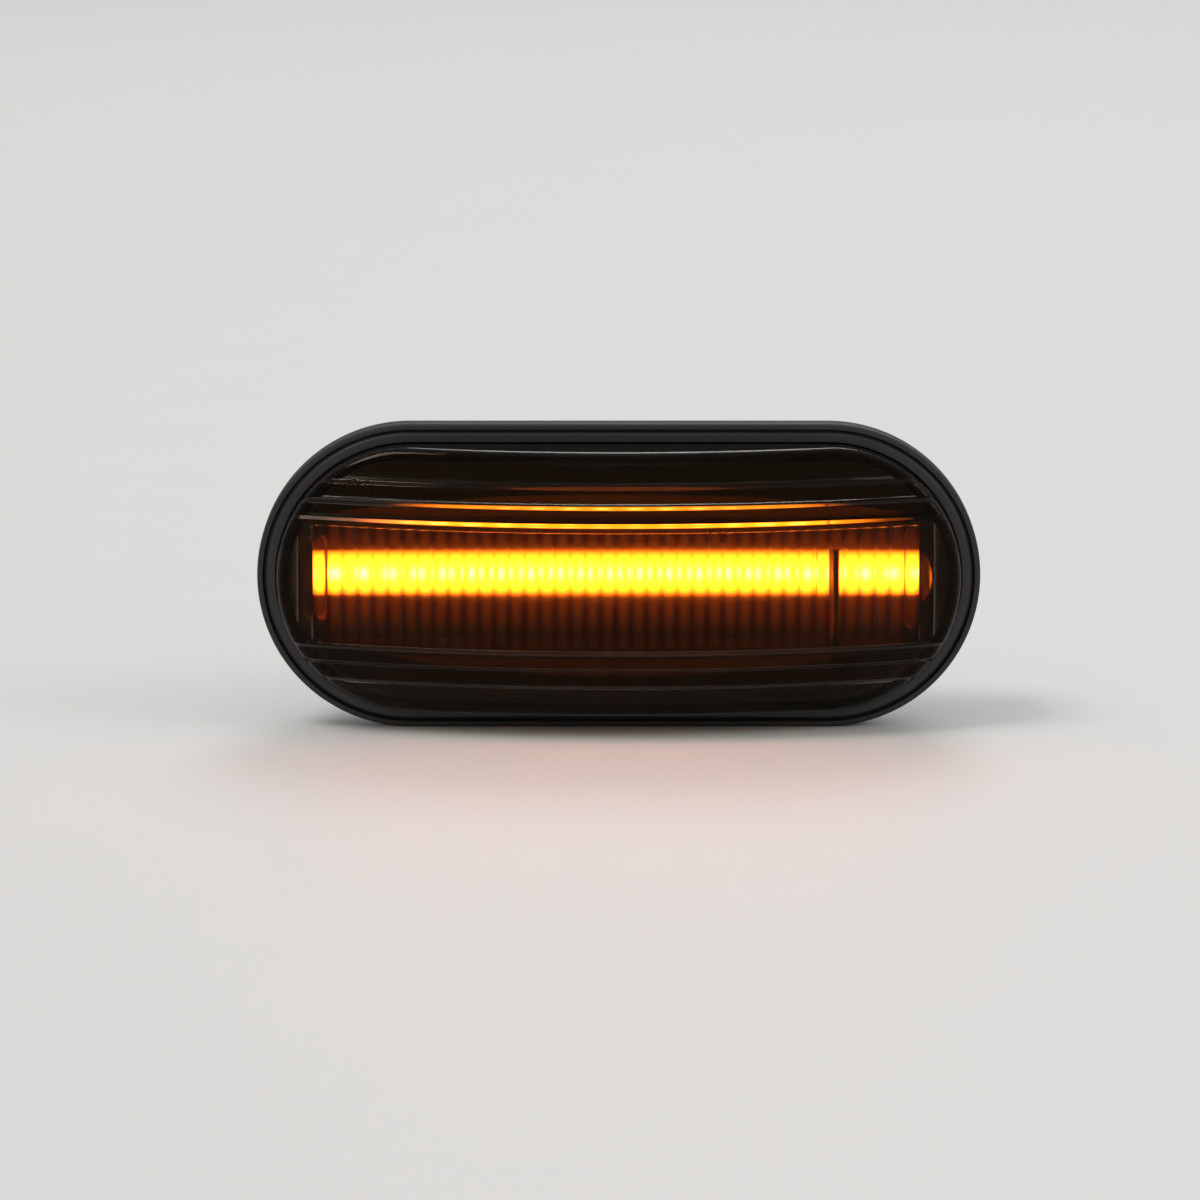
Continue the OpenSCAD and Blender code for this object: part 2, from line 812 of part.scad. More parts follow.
module gasket() {
  gasket_l = flange_l + 2 * (slip + lip_t);
  gasket_h = flange_h + 2 * (slip + lip_t);
  color("#101010")
    difference() {
      oblong_turn(gasket_l, gasket_h)
        polygon([[0, flange_y], [gasket_h / 2 - lip_t / 2, flange_y], [gasket_h / 2, flange_y + lip_t / 2],
                 [gasket_h / 2, 0], [0, 0]]);
      oblong(flange_l + 2 * slip, flange_h + 2 * slip, flange_y - over, -gasket_t);
      oblong(tub_l + 2 * loose, tub_h + 2 * loose, -gasket_t - over, over);
    }
}

// Both sides of a line drawn with a width: the outline of bent strip
function square_to(a, b) = let(d = b - a) [-d[1], d[0]] / norm(d);
function side_point(line, i, w) =
  let(n = len(line) - 1,
      before = square_to(line[max(i - 1, 0)], line[max(i, 1)]),
      after = square_to(line[min(i, n - 1)], line[min(i + 1, n)]))
  line[i] + w * (before + after) / (1 + before * after);
function ribbon(line, w) = let(n = len(line) - 1)
  concat([for (i = [0 : n]) side_point(line, i, w / 2)],
         [for (i = [n : -1 : 0]) side_point(line, i, -w / 2)]);

// A seat strip, a round turn at the back and a leaf that bulges out and comes in again at the panel
module spring_clip() {
  seat_x = pad_x + clip_t / 2;
  turn_r = 0.9;
  turn_y = tub_depth - 0.4;
  turn = [for (a = [180 : -30 : 0]) [seat_x + turn_r + turn_r * cos(a), turn_y + turn_r * sin(a)]];
  leaf = [[pad_x + clip_bulge - clip_t / 2, pad_y + 4.6], [pad_x + clip_bulge - clip_t / 2, pad_y + 4],
          [pad_x + 1.3, pad_y + 0.3]];
  color("Silver") {
    plate(clip_w)
      polygon(ribbon([[seat_x, pad_y + 1], [seat_x, turn_y - 1]], clip_t));
    plate(leaf_w)
      polygon(ribbon(concat([[seat_x, turn_y - 2]], turn, leaf), clip_t));
  }
}

module vent_membrane() {
  color("LightGray")
    translate([vent_x, 0, 0])
      rod(vent_r, tub_depth, tub_depth + vent_t);
}

lens();
lens_seal();
bezel();
diffuser_long();
diffuser_short();
light_chamber();
led_board();
led_chips();
resistors();
driver_chip();
transistors();
polarity_diode();
capacitor();
board_screws();
solder_joints();
contact_strips();
wedge_base();
housing();
gasket();
spring_clip();
vent_membrane();
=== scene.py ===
import math

import bmesh
import bpy
import numpy as np
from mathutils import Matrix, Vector


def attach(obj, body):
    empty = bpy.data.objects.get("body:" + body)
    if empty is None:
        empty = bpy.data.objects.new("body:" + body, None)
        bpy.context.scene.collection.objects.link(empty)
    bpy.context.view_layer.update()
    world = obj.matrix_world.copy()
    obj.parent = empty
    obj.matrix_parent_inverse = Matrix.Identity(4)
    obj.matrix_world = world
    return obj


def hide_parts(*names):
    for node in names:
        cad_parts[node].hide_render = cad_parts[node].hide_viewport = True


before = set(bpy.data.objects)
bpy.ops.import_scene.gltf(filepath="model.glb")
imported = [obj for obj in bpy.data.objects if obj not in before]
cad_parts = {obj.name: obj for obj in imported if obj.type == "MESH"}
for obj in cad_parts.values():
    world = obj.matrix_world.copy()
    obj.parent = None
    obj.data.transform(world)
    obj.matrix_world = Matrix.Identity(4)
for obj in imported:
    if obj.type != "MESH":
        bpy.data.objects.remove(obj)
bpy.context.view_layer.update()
MM = 0.001

# Sizes of the lens in millimetres, the same as the CAD's but for the flutes' flatter crests
LENS_R = 118.0          # radius of the face along the lamp
AXIS_Y = 102.5          # place of that radius's centre
WALL = 2.1
HALF_STRAIGHT = 27.8    # from the middle to the centre of a round end
END_R = 18.0
DRAFT = 0.5
SKIRT_Y = -2.95
BAND = 8.4              # half the height of the fluted band
LEDGE_H = 0.5
LEDGE_1_D = 0.48
LEDGE_2_D = 0.8
LEDGE_3_D = 0.6
TREAD_1 = 2.2
TREAD_2 = 2.5
TREAD_SLOPE = 0.2
BROW_SLOPE = 0.47
FLUTES = 44
FLUTE_PITCH = 2.0
FLUTE_R = 1.9
FLUTE_SHIFT = -0.4      # of the whole row along the lamp
FLUTE_STOP = 0.9        # bare strip between the flutes' upper ends and the first ledge

# Roundings of the lens in millimetres, which the CAD doesn't have
RIM_ROUND = 0.9         # of the face's outline
OUTER_ROUND = 0.12      # of the ledges' corners
INNER_ROUND = 0.1
FLUTE_END = 0.06
VALLEY_ROUND = 0.04

# Where the mesh of the lens has its columns and rows
FLUTE_PLACES = (-1.0, -0.97, -0.92, -0.8, -0.6, -0.35, 0.0, 0.35, 0.6, 0.8, 0.92, 0.97)  # in half pitches
FLUTE_END_PLACES = (-0.8, -0.3, 0, 0.3, 0.5, 0.7, 0.85, 1.0, 1.3, 1.8)  # in lengths of the rounding
NEAR_RIM = (0.015, 0.05, 0.12, 0.22, 0.35, 0.5, 0.7, 0.95)              # distances from the outline in millimetres
OUTER_COLUMNS, OUTER_MARGIN = 101, 2.4  # even columns of the outer face, and the strip beside them at both ends
OUTER_RINGS, INNER_RINGS = 5, 4         # rings down the skirt
FACE_START, FACE_TOP = -1.0, 30.0       # heights between which the face's profile is worked out

# Painted shade on the lens: tints that darken it so that each lit line looks as bright as in the photo. Places along
# the lamp and heights in millimetres
LEDGE_1_PAINTED_SHADE = (0.1, 0.125, 0.07), 26.0, 36.5       # colour, and where along the lamp it starts and stops to fade
LEDGE_2_PAINTED_SHADE = (0.032, 0.044, 0.025), 23.5, 31.5
FADED_LEDGE = 0.1
# Painted shade in stripes over the bar's glow above and below it, and in the flutes' valleys
STRIPE_PAINTED_SHADE = (0.72, 0.96, 0.99)        # what a stripe takes from red, green and blue
STRIPES_BELOW, STRIPES_ABOVE = (-0.2, 2.2), (4.8, 1.5)  # height where they start, and over how much they come in
STRIPE_EDGE = 0.3, 0.45                 # the same for the distance from the flute's middle
VALLEY_PAINTED_SHADE = 0.6
# Painted shade over the flutes past the bar's right end, and near black at the flutes' lower ends
LAST_COLUMN_X, LAST_COLUMN_PAINTED_SHADE = 39.8, 0.03            # the flutes past the bar's right end are darker
PAST_COLUMNS_X, PAST_COLUMNS_PAINTED_SHADE = 40.9, 0.1
FLUTE_FOOT_PAINTED_SHADE = 0.0003

# Sizes of the light source in millimetres. The boxes of the LEDs and resistors and their places are the CAD's
LEDS = 18
LED_L, LED_H, LED_T = 3.5, 2.8, 0.8
LED_PITCH = (81.0 - LED_L - 2.0) / (LEDS - 1)           # the bar is 81 mm long, with a margin of 1 mm at both ends
LED_FIRST = -(LEDS - 1) / 2 * LED_PITCH
DISH_RIM, DISH_FLOOR, DISH_DEPTH = 1.18, 0.95, 0.27
BOARD_L = 82.0
BOARD_FRONT = 5.3       # depth of the board's faces behind the panel's face
BOARD_BACK = 6.5
RESISTORS = 8
RESISTOR_W, RESISTOR_BODY, RESISTOR_CAP, RESISTOR_T = 1.6, 2.3, 0.45, 0.6
RESISTOR_X = 9.5 - BOARD_L / 2
RESISTOR_Z = -3.2
RESISTOR_PITCH = 2.2

# Sizes of the gasket in millimetres: radii are those of its round ends, depths are from the panel's face
GASKET_R = 20.5
LIP_R, LIP_FRONT, LIP_ROUND = 19.7, -3.6, 0.4
SEAT_R, SEAT_FRONT = 14.3, -1.6
SEAT_GROOVES = (18.9, 17.0)     # outer side of each groove in the seat
TUB_LONGER = 2.2                # how much further out the inner side stands at both ends
FLOOR_Z = -GASKET_R             # the lamp stands on its gasket


# Camera, at the photograph's angle

def put_camera():
    away, tilt = 0.9, math.radians(10)
    pixel = 0.1318 * MM                 # one of the photograph's pixels at the lens's front
    frame_width = 1200                  # in the same pixels
    right_by, up_by = 19, 8.5           # pixels from the frame's middle to the lens's
    view_dir = Vector((0, math.cos(tilt), -math.sin(tilt)))
    up = Vector((0, math.sin(tilt), math.cos(tilt)))
    front = Vector((0, -15.5 * MM, 0))
    aim = front - Vector((right_by * pixel, 0, 0)) - up * up_by * pixel
    data = bpy.data.cameras.new("camera")
    data.sensor_width = 36
    data.lens = data.sensor_width * away / (frame_width * pixel)
    data.clip_start, data.clip_end = 0.05, 30
    camera = bpy.data.objects.new("camera", data)
    bpy.context.scene.collection.objects.link(camera)
    camera.location = aim - view_dir * away
    camera.rotation_euler = view_dir.to_track_quat("-Z", "Y").to_euler()
    bpy.context.scene.camera = camera


put_camera()
bpy.context.scene.view_settings.view_transform = "Standard"


# Shader building blocks

def node_tree(material):
    material.use_nodes = True
    tree = material.node_tree
    tree.nodes.clear()
    return tree


def math_node(tree, operation, a, b=None, c=None, clamp=False):
    node = tree.nodes.new("ShaderNodeMath")
    node.operation = operation
    node.use_clamp = clamp
    for socket, value in zip(node.inputs, (a, b, c)):
        if value is None:
            continue
        if isinstance(value, (int, float)):
            socket.default_value = value
        else:
            tree.links.new(value, socket)
    return node.outputs[0]


def mix_colour(tree, factor, a, b, blend="MIX"):
    node = tree.nodes.new("ShaderNodeMix")
    node.data_type = "RGBA"
    node.blend_type = blend
    for name, value in (("Factor_Float", factor), ("A_Color", a), ("B_Color", b)):
        socket = next(s for s in node.inputs if s.identifier == name)
        if isinstance(value, bpy.types.NodeSocket):
            tree.links.new(value, socket)
        else:
            socket.default_value = value
    return next(s for s in node.outputs if s.identifier == "Result_Color")


def ramp(tree, factor, low, high):
    node = tree.nodes.new("ShaderNodeMapRange")
    node.interpolation_type = "SMOOTHSTEP"
    tree.links.new(factor, node.inputs["Value"])
    node.inputs["From Min"].default_value = low
    node.inputs["From Max"].default_value = high
    return node.outputs["Result"]


def noise(tree, vector, scale, detail=3.0, roughness=0.55):
    node = tree.nodes.new("ShaderNodeTexNoise")
    node.inputs["Scale"].default_value = scale
    node.inputs["Detail"].default_value = detail
    node.inputs["Roughness"].default_value = roughness
    tree.links.new(vector, node.inputs["Vector"])
    return node.outputs["Fac"]


def object_place(tree):
    return tree.nodes.new("ShaderNodeTexCoord").outputs["Object"]


def object_xyz(tree):
    """The place on the object as three values, X, Y and Z."""
    split = tree.nodes.new("ShaderNodeSeparateXYZ")
    tree.links.new(object_place(tree), split.inputs[0])
    return split.outputs


def new_group(name, inputs, outputs):
    group = bpy.data.node_groups.new(name, "ShaderNodeTree")
    for label, kind, value in inputs:
        socket = group.interface.new_socket(name=label, in_out="INPUT", socket_type=kind)
        socket.default_value = value
    for label, kind in outputs:
        group.interface.new_socket(name=label, in_out="OUTPUT", socket_type=kind)
    start = group.nodes.new("NodeGroupInput").outputs
    end = group.nodes.new("NodeGroupOutput").inputs
    return group, start, end


def moulding_group():
    """Colour drift, gloss drift and a fine texture height for moulded and rolled surfaces."""
    group, start, end = new_group(
        "moulded_surface",
        [("Colour", "NodeSocketColor", (0.5, 0.5, 0.5, 1)),
         ("Drift", "NodeSocketFloat", 0.15),
         ("Roughness", "NodeSocketFloat", 0.5),
         ("Gloss drift", "NodeSocketFloat", 0.1),
         ("Grain scale", "NodeSocketFloat", 3000.0)],
        [("Colour", "NodeSocketColor"),
         ("Roughness", "NodeSocketFloat"),
         ("Height", "NodeSocketFloat")])
    place = object_place(group)
    broad = noise(group, place, 60.0, 3.0)
    fine = group.nodes.new("ShaderNodeTexNoise")
    fine.inputs["Detail"].default_value = 2.0
    group.links.new(place, fine.inputs["Vector"])
    group.links.new(start["Grain scale"], fine.inputs["Scale"])
    cells = group.nodes.new("ShaderNodeTexVoronoi")
    group.links.new(place, cells.inputs["Vector"])
    group.links.new(start["Grain scale"], cells.inputs["Scale"])
    speck = ramp(group, fine.outputs["Fac"], 0.35, 0.7)
    both = math_node(group, "ADD", broad, math_node(group, "MULTIPLY", speck, 0.5))
    swing = math_node(group, "SUBTRACT", both, 0.75)
    lift = math_node(group, "MULTIPLY_ADD", swing, start["Drift"], 1.0)
    hue = group.nodes.new("ShaderNodeHueSaturation")
    group.links.new(start["Colour"], hue.inputs["Color"])
    group.links.new(lift, hue.inputs["Value"])
    group.links.new(hue.outputs["Color"], end["Colour"])
    gloss = math_node(group, "MULTIPLY", swing, start["Gloss drift"])
    group.links.new(math_node(group, "ADD", gloss, start["Roughness"], clamp=True), end["Roughness"])
    rise = math_node(group, "ADD", fine.outputs["Fac"], math_node(group, "MULTIPLY", cells.outputs["Distance"], 0.8))
    group.links.new(rise, end["Height"])
    return group


def strokes_group():
    """Fine lines along one direction, as rolling and drawing leave on strip metal."""
    group, start, end = new_group(
        "drawn_lines",
        [("Lengthwise", "NodeSocketFloat", 60.0), ("Crosswise", "NodeSocketFloat", 2500.0)],
        [("Height", "NodeSocketFloat")])
    place = object_xyz(group)
    joined = group.nodes.new("ShaderNodeCombineXYZ")
    for axis, scale in (("X", "Lengthwise"), ("Y", "Lengthwise"), ("Z", "Crosswise")):
        group.links.new(math_node(group, "MULTIPLY", place[axis], start[scale]), joined.inputs[axis])
    group.links.new(noise(group, joined.outputs[0], 1.0, 4.0, 0.7), end["Height"])
    return group


def led_glow_group():
    """Heat is 1 over the middle of each LED and 0 between LEDs and at the bar's edges. Core falls with height alone."""
    group, start, end = new_group(
        "led_glow",
        [("First LED", "NodeSocketFloat", 0.0), ("Pitch", "NodeSocketFloat", 0.004),
         ("Spot height", "NodeSocketFloat", 0.002), ("Half height", "NodeSocketFloat", 0.003)],
        [("Heat", "NodeSocketFloat"), ("Core", "NodeSocketFloat")])
    place = object_xyz(group)
    along = math_node(group, "SUBTRACT", place["X"], start["First LED"])
    steps = math_node(group, "DIVIDE", along, start["Pitch"])
    wave = math_node(group, "COSINE", math_node(group, "MULTIPLY", steps, 2 * math.pi))
    across = math_node(group, "POWER", math_node(group, "MULTIPLY_ADD", wave, 0.5, 0.5), 1.6)
    high = math_node(group, "DIVIDE", place["Z"], start["Spot height"])
    drop = math_node(group, "EXPONENT", math_node(group, "MULTIPLY", math_node(group, "POWER", high, 2.0), -1.0))
    group.links.new(math_node(group, "MULTIPLY", across, drop), end["Heat"])
    edge = math_node(group, "DIVIDE", math_node(group, "ABSOLUTE", place["Z"]), start["Half height"])
    core = math_node(group, "SUBTRACT", 1.0, math_node(group, "POWER", edge, 2.5), clamp=True)
    group.links.new(core, end["Core"])
    return group


MOULDED = moulding_group()
DRAWN = strokes_group()
LED_GLOW = led_glow_group()


def place_group(tree, group, **values):
    node = tree.nodes.new("ShaderNodeGroup")
    node.node_tree = group
    for name, value in values.items():
        node.inputs[name.replace("_", " ")].default_value = value
    return node


def shaded(name, colour, rough, drift=0.2, gloss_drift=0.15, grain=3000.0, bump=0.15,
           depth=0.00002, metallic=0.0, coat=0.0, specular=0.5):
    """A material with colour drift, gloss drift and a fine relief."""
    material = bpy.data.materials.new(name)
    tree = node_tree(material)
    out = tree.nodes.new("ShaderNodeOutputMaterial")
    body = tree.nodes.new("ShaderNodeBsdfPrincipled")
    tree.links.new(body.outputs[0], out.inputs["Surface"])
    surface = place_group(tree, MOULDED, Colour=(*colour, 1), Drift=drift, Roughness=rough,
                          Gloss_drift=gloss_drift, Grain_scale=grain)
    tree.links.new(surface.outputs["Colour"], body.inputs["Base Color"])
    tree.links.new(surface.outputs["Roughness"], body.inputs["Roughness"])
    relief = tree.nodes.new("ShaderNodeBump")
    relief.inputs["Strength"].default_value = bump
    relief.inputs["Distance"].default_value = depth
    tree.links.new(surface.outputs["Height"], relief.inputs["Height"])
    tree.links.new(relief.outputs[0], body.inputs["Normal"])
    body.inputs["Metallic"].default_value = metallic
    body.inputs["Coat Weight"].default_value = coat
    body.inputs["IOR"].default_value = 1.5
    body.inputs["Specular IOR Level"].default_value = specular
    return material


def strip_metal(name, colour, rough):
    """Rolled strip: fine lines along it and a little tarnish."""
    material = shaded(name, colour, rough, drift=0.12, gloss_drift=0.08, grain=1500.0, metallic=1.0,
                      bump=0.03, depth=0.00001)
    tree = material.node_tree
    relief = next(n for n in tree.nodes if n.type == "BUMP")
    lines = place_group(tree, DRAWN)
    tree.links.new(lines.outputs["Height"], relief.inputs["Height"])
    return material


def smoked_lens():
    """Smoked clear moulding, hazier on its inner face, with painted shade multiplied into its colour point by point.
    Shadow rays pass through it tinted, so the lit bar still throws its light out."""
    material = bpy.data.materials.new("smoked_lens")
    tree = node_tree(material)
    out = tree.nodes.new("ShaderNodeOutputMaterial")
    body = tree.nodes.new("ShaderNodeBsdfPrincipled")
    body.inputs["Transmission Weight"].default_value = 1.0
    body.inputs["IOR"].default_value = 1.58
    body.inputs["Metallic"].default_value = 0.0
    body.inputs["Specular Tint"].default_value = (0.18, 0.11, 0.07, 1)
    surface = place_group(tree, MOULDED, Colour=(0.36, 0.33, 0.3, 1), Drift=0.05, Roughness=0.0,
                          Gloss_drift=0.02, Grain_scale=500.0)
    inside = tree.nodes.new("ShaderNodeAttribute")
    inside.attribute_name = "inside"
    haze = math_node(tree, "MULTIPLY_ADD", inside.outputs["Fac"], 0.13, 0.03)
    # Painted shade: a point colour that darkens the lens where the lit bar's lines, stripes and columns would look too
    # bright
    painted_shade = tree.nodes.new("ShaderNodeAttribute")
    painted_shade.attribute_name = "painted_shade"
    smoke_with_painted_shade = mix_colour(tree, 1.0, surface.outputs["Colour"], painted_shade.outputs["Color"], "MULTIPLY")
    tree.links.new(smoke_with_painted_shade, body.inputs["Base Color"])
    tree.links.new(math_node(tree, "ADD", surface.outputs["Roughness"], haze, clamp=True), body.inputs["Roughness"])
    clear = tree.nodes.new("ShaderNodeBsdfTransparent")
    clear.inputs["Color"].default_value = (0.36, 0.43, 0.3, 1)
    rays = tree.nodes.new("ShaderNodeLightPath")
    mix = tree.nodes.new("ShaderNodeMixShader")
    tree.links.new(rays.outputs["Is Shadow Ray"], mix.inputs[0])
    tree.links.new(body.outputs[0], mix.inputs[1])
    tree.links.new(clear.outputs[0], mix.inputs[2])
    tree.links.new(mix.outputs[0], out.inputs["Surface"])
    return material


def light_bar():
    """Milky plastic lit from behind: white-hot over each LED, yellow between, amber at the edges."""
    material = bpy.data.materials.new("light_bar")
    tree = node_tree(material)
    out = tree.nodes.new("ShaderNodeOutputMaterial")
    body = tree.nodes.new("ShaderNodeBsdfPrincipled")
    glow = place_group(tree, LED_GLOW, First_LED=LED_FIRST * MM, Pitch=LED_PITCH * MM,
                       Spot_height=0.7 * MM, Half_height=3.05 * MM)
    fringe = (0.03, 0.0035, 0.0001, 1)
    amber = (0.45, 0.08, 0.002, 1)
    hot = (0.9, 0.22, 0.03, 1)
    spread = mix_colour(tree, glow.outputs["Core"], fringe, amber)
    lit = mix_colour(tree, glow.outputs["Heat"], spread, hot)
    tree.links.new(lit, body.inputs["Emission Color"])
    body.inputs["Emission Strength"].default_value = 75.0
    surface = place_group(tree, MOULDED, Colour=(0.8, 0.5, 0.2, 1), Drift=0.1, Roughness=0.35,
                          Gloss_drift=0.1, Grain_scale=2500.0)
    tree.links.new(surface.outputs["Colour"], body.inputs["Base Color"])
    tree.links.new(surface.outputs["Roughness"], body.inputs["Roughness"])
    tree.links.new(body.outputs[0], out.inputs["Surface"])
    return material


def bezel_with_painted_glow():
    """Dull black moulding with a painted glow from the light bar: paler and orange-brown on the funnel's walls beside
    the bar.
    """
    material = shaded("black_bezel", (0.02, 0.015, 0.012), 0.7, grain=4000.0, bump=0.1, specular=0.02)
    tree = material.node_tree
    surface = next(n for n in tree.nodes if n.type == "GROUP")
    # Painted glow: the bar's light painted as a paler, orange-brown colour within 4.5 mm of the lamp's middle height,
    # fading to black by 8.6 mm
    away = ramp(tree, math_node(tree, "ABSOLUTE", object_xyz(tree)["Z"]), 4.5 * MM, 8.6 * MM)
    shade = mix_colour(tree, away, (0.16, 0.075, 0.025, 1), (0.018, 0.011, 0.007, 1))
    tree.links.new(shade, surface.inputs["Colour"])
    return material


finishes = {
    "sealant": shaded("sealant", (0.04, 0.04, 0.04), 0.5, grain=1500.0),
    "black_bezel": bezel_with_painted_glow(),
    "light_bar": light_bar(),
    "white_plastic": shaded("white_plastic", (0.8, 0.8, 0.78), 0.45, drift=0.06),
    "board": shaded("board", (0.02, 0.16, 0.05), 0.35, drift=0.4, grain=1200.0, coat=0.3),
    "led": shaded("led", (0.85, 0.7, 0.25), 0.4, drift=0.2),
    "chip_black": shaded("chip_black", (0.03, 0.03, 0.032), 0.55, grain=5000.0, bump=0.3),
    "capacitor": shaded("capacitor", (0.6, 0.33, 0.06), 0.45),
    "plated_steel": shaded("plated_steel", (0.68, 0.69, 0.7), 0.3, metallic=1.0, gloss_drift=0.3),
    "solder": shaded("solder", (0.7, 0.71, 0.73), 0.22, metallic=1.0, grain=1500.0, bump=0.3),
    "contact_brass": strip_metal("contact_brass", (0.83, 0.62, 0.3), 0.28),
    "nylon": shaded("nylon", (0.045, 0.045, 0.05), 0.45, grain=2500.0),
    "black_housing": shaded("black_housing", (0.02, 0.02, 0.022), 0.48, grain=2600.0, bump=0.35, depth=0.00003),
    "gasket_rubber": shaded("gasket_rubber", (0.016, 0.016, 0.016), 0.62, grain=3500.0, bump=0.3, depth=0.00003),
    "spring_steel": strip_metal("spring_steel", (0.62, 0.62, 0.63), 0.26),
    "membrane": shaded("membrane", (0.72, 0.72, 0.7), 0.85, drift=0.08, grain=6000.0, bump=0.6, depth=0.00004),
}


# Meshes

def put_mesh(name, mesh):
    obj = bpy.data.objects.new(name, mesh)
    bpy.context.scene.collection.objects.link(obj)
    return obj


def mesh_object(name, points, faces, material):
    """A mesh from points in millimetres."""
    mesh = bpy.data.meshes.new(name)
    mesh.from_pydata((np.asarray(points) * MM).tolist(), [], faces)
    mesh.validate()
    mesh.update()
    mesh.materials.append(material)
    return put_mesh(name, mesh)


def clean_mesh(mesh, sharp):
    """Joins doubled points, turns the faces outwards and shades them smooth, but for edges of more than the angle."""
    shape = bmesh.new()
    shape.from_mesh(mesh)
    bmesh.ops.remove_doubles(shape, verts=shape.verts, dist=1e-7)
    bmesh.ops.dissolve_degenerate(shape, dist=1e-8, edges=shape.edges)
    bmesh.ops.recalc_face_normals(shape, faces=shape.faces)
    shape.to_mesh(mesh)
    shape.free()
    mesh.shade_smooth()
    mesh.set_sharp_from_angle(angle=math.radians(sharp))


def averaged(places, values, half_width):
    """The values as a function of place, each averaged over the half width to both sides, which rounds corners."""
    total = np.concatenate([[0.0], np.cumsum((values[1:] + values[:-1]) / 2 * np.diff(places))])

    def average_at(place):
        low, high = (np.interp(place + side, places, total) for side in (-half_width, half_width))
        return (high - low) / (2 * half_width)

    return average_at


def rounded_steps(round_off):
    """The face's loss of depth by height, with the profile's corners rounded, and the heights of those corners."""
    z1 = BAND
    z2 = z1 + TREAD_1
    z3 = z2 + TREAD_2
    corners = [z1, z1 + LEDGE_H, z2, z2 + LEDGE_H, z3, z3 + LEDGE_H]
    depths = [0.0, LEDGE_1_D]
    depths.append(depths[-1] + (TREAD_1 - LEDGE_H) * TREAD_SLOPE)
    depths.append(depths[-1] + LEDGE_2_D)
    depths.append(depths[-1] + (TREAD_2 - LEDGE_H) * TREAD_SLOPE)
    depths.append(depths[-1] + LEDGE_3_D)
    heights = [FACE_START, *corners, FACE_TOP]
    depths = [0.0, *depths, depths[-1] + (FACE_TOP - corners[-1]) * BROW_SLOPE]
    fine = np.linspace(FACE_START, FACE_TOP, 31001)
    depth_at = averaged(fine, np.interp(fine, heights, depths), round_off)
    return lambda z: depth_at(np.abs(z)), corners


def half_length(z, r):
    return HALF_STRAIGHT + math.sqrt(max(r * r - z * z, 0.0))


def rows_for(r, corners, round_off, extra=()):
    """Heights of the mesh rows: even round the end, and close together at each corner of the profile."""
    too_close = 0.012
    heights = {round(r * math.sin(math.radians(a)), 4) for a in np.arange(0, 91, 3.0)}
    for c in corners:
        heights |= {round(c + k * round_off, 4) for k in (-1, -0.5, 0, 0.5, 1)}
    heights |= {round(r - k, 4) for k in NEAR_RIM}
    heights |= set(extra)
    wanted = sorted(h for h in heights if 0 <= h <= r)
    kept = [wanted[0]]
    for h in wanted[1:]:
        if h - kept[-1] > too_close:
            kept.append(h)
    kept[-1] = r
    return [-h for h in reversed(kept) if h > 0] + kept


def lean_in(x, z, y, r):
    """Moves points inwards near the outline, as much as the skirt leans at that depth."""
    front, near = 16.0, 3.0
    centre = np.clip(x, -HALF_STRAIGHT, HALF_STRAIGHT)
    far = np.hypot(x - centre, z)
    near_edge = np.clip(1 - (r - far) / near, 0, 1) ** 2
    lean = DRAFT * (SKIRT_Y - y) / (SKIRT_Y + front) * near_edge
    scale = 1 - lean / np.maximum(far, 1e-6)
    return centre + (x - centre) * scale, z * scale


def face_grid(r, columns_at, depth_at, rows):
    """Points and quads of one face of the lens, and its outline as indices in order round it."""
    points, grid = [], []
    for row in rows:
        x = np.asarray(columns_at(row))
        z = np.full_like(x, row)
        y = depth_at(x, z)
        leant_x, leant_z = lean_in(x, z, y, r)
        grid.append(list(range(len(points), len(points) + len(x))))
        points.extend(zip(leant_x, y, leant_z))
    quads = []
    for low, high in zip(grid[:-1], grid[1:]):
        for i in range(len(low) - 1):
            quads.append((low[i], low[i + 1], high[i + 1], high[i]))
    outline = [line[-1] for line in grid] + grid[-1][-2:0:-1] + [line[0] for line in reversed(grid)] + grid[0][1:-1]
    return np.array(points), quads, outline


def skirt_rings(edge_points, r, rings):
    """Rings down the skirt from the face's outline, each leaning out to the full outline at the foot."""
    edge = np.asarray(edge_points)
    centre = np.clip(edge[:, 0], -HALF_STRAIGHT, HALF_STRAIGHT)
    ux, uz = edge[:, 0] - centre, edge[:, 2]
    size = np.hypot(ux, uz)
    ux, uz = ux / size, uz / size
    made = []
    for k in range(1, rings + 1):
        y = edge[:, 1] + (SKIRT_Y - edge[:, 1]) * k / rings
        reach = size + (r - size) * k / rings
        made.append(np.column_stack([centre + ux * reach, y, uz * reach]))
    return made


def outline_angle(p):
    """Place of a point round the outline, from 0 to 1, counted the same way for any size of outline."""
    height_to_length = 0.45
    return (math.atan2(p[2], p[0] * height_to_length) / (2 * math.pi)) % 1.0


def zip_loops(outer, inner, points):
    """Triangles between two closed loops that run the same way round."""
    def turned(loop):
        angles = [outline_angle(points[i]) for i in loop]
        start = int(np.argmin(angles))
        order = loop[start:] + loop[:start]
        marks = [angles[(start + k) % len(loop)] for k in range(len(loop))]
        return order + [order[0]], marks + [marks[0] + 1.0]

    a, a_marks = turned(outer)
    b, b_marks = turned(inner)
    i = j = 0
    faces = []
    while i < len(a) - 1 or j < len(b) - 1:
        if j == len(b) - 1 or (i < len(a) - 1 and a_marks[i + 1] <= b_marks[j + 1]):
            faces.append((a[i], a[i + 1], b[j]))
            i += 1
        else:
            faces.append((a[i], b[j + 1], b[j]))
            j += 1
    return faces


def off_middle(x):
    """Distance from the middle of the flute that x is in."""
    return ((x - FLUTE_SHIFT) / FLUTE_PITCH % 1.0 - 0.5) * FLUTE_PITCH


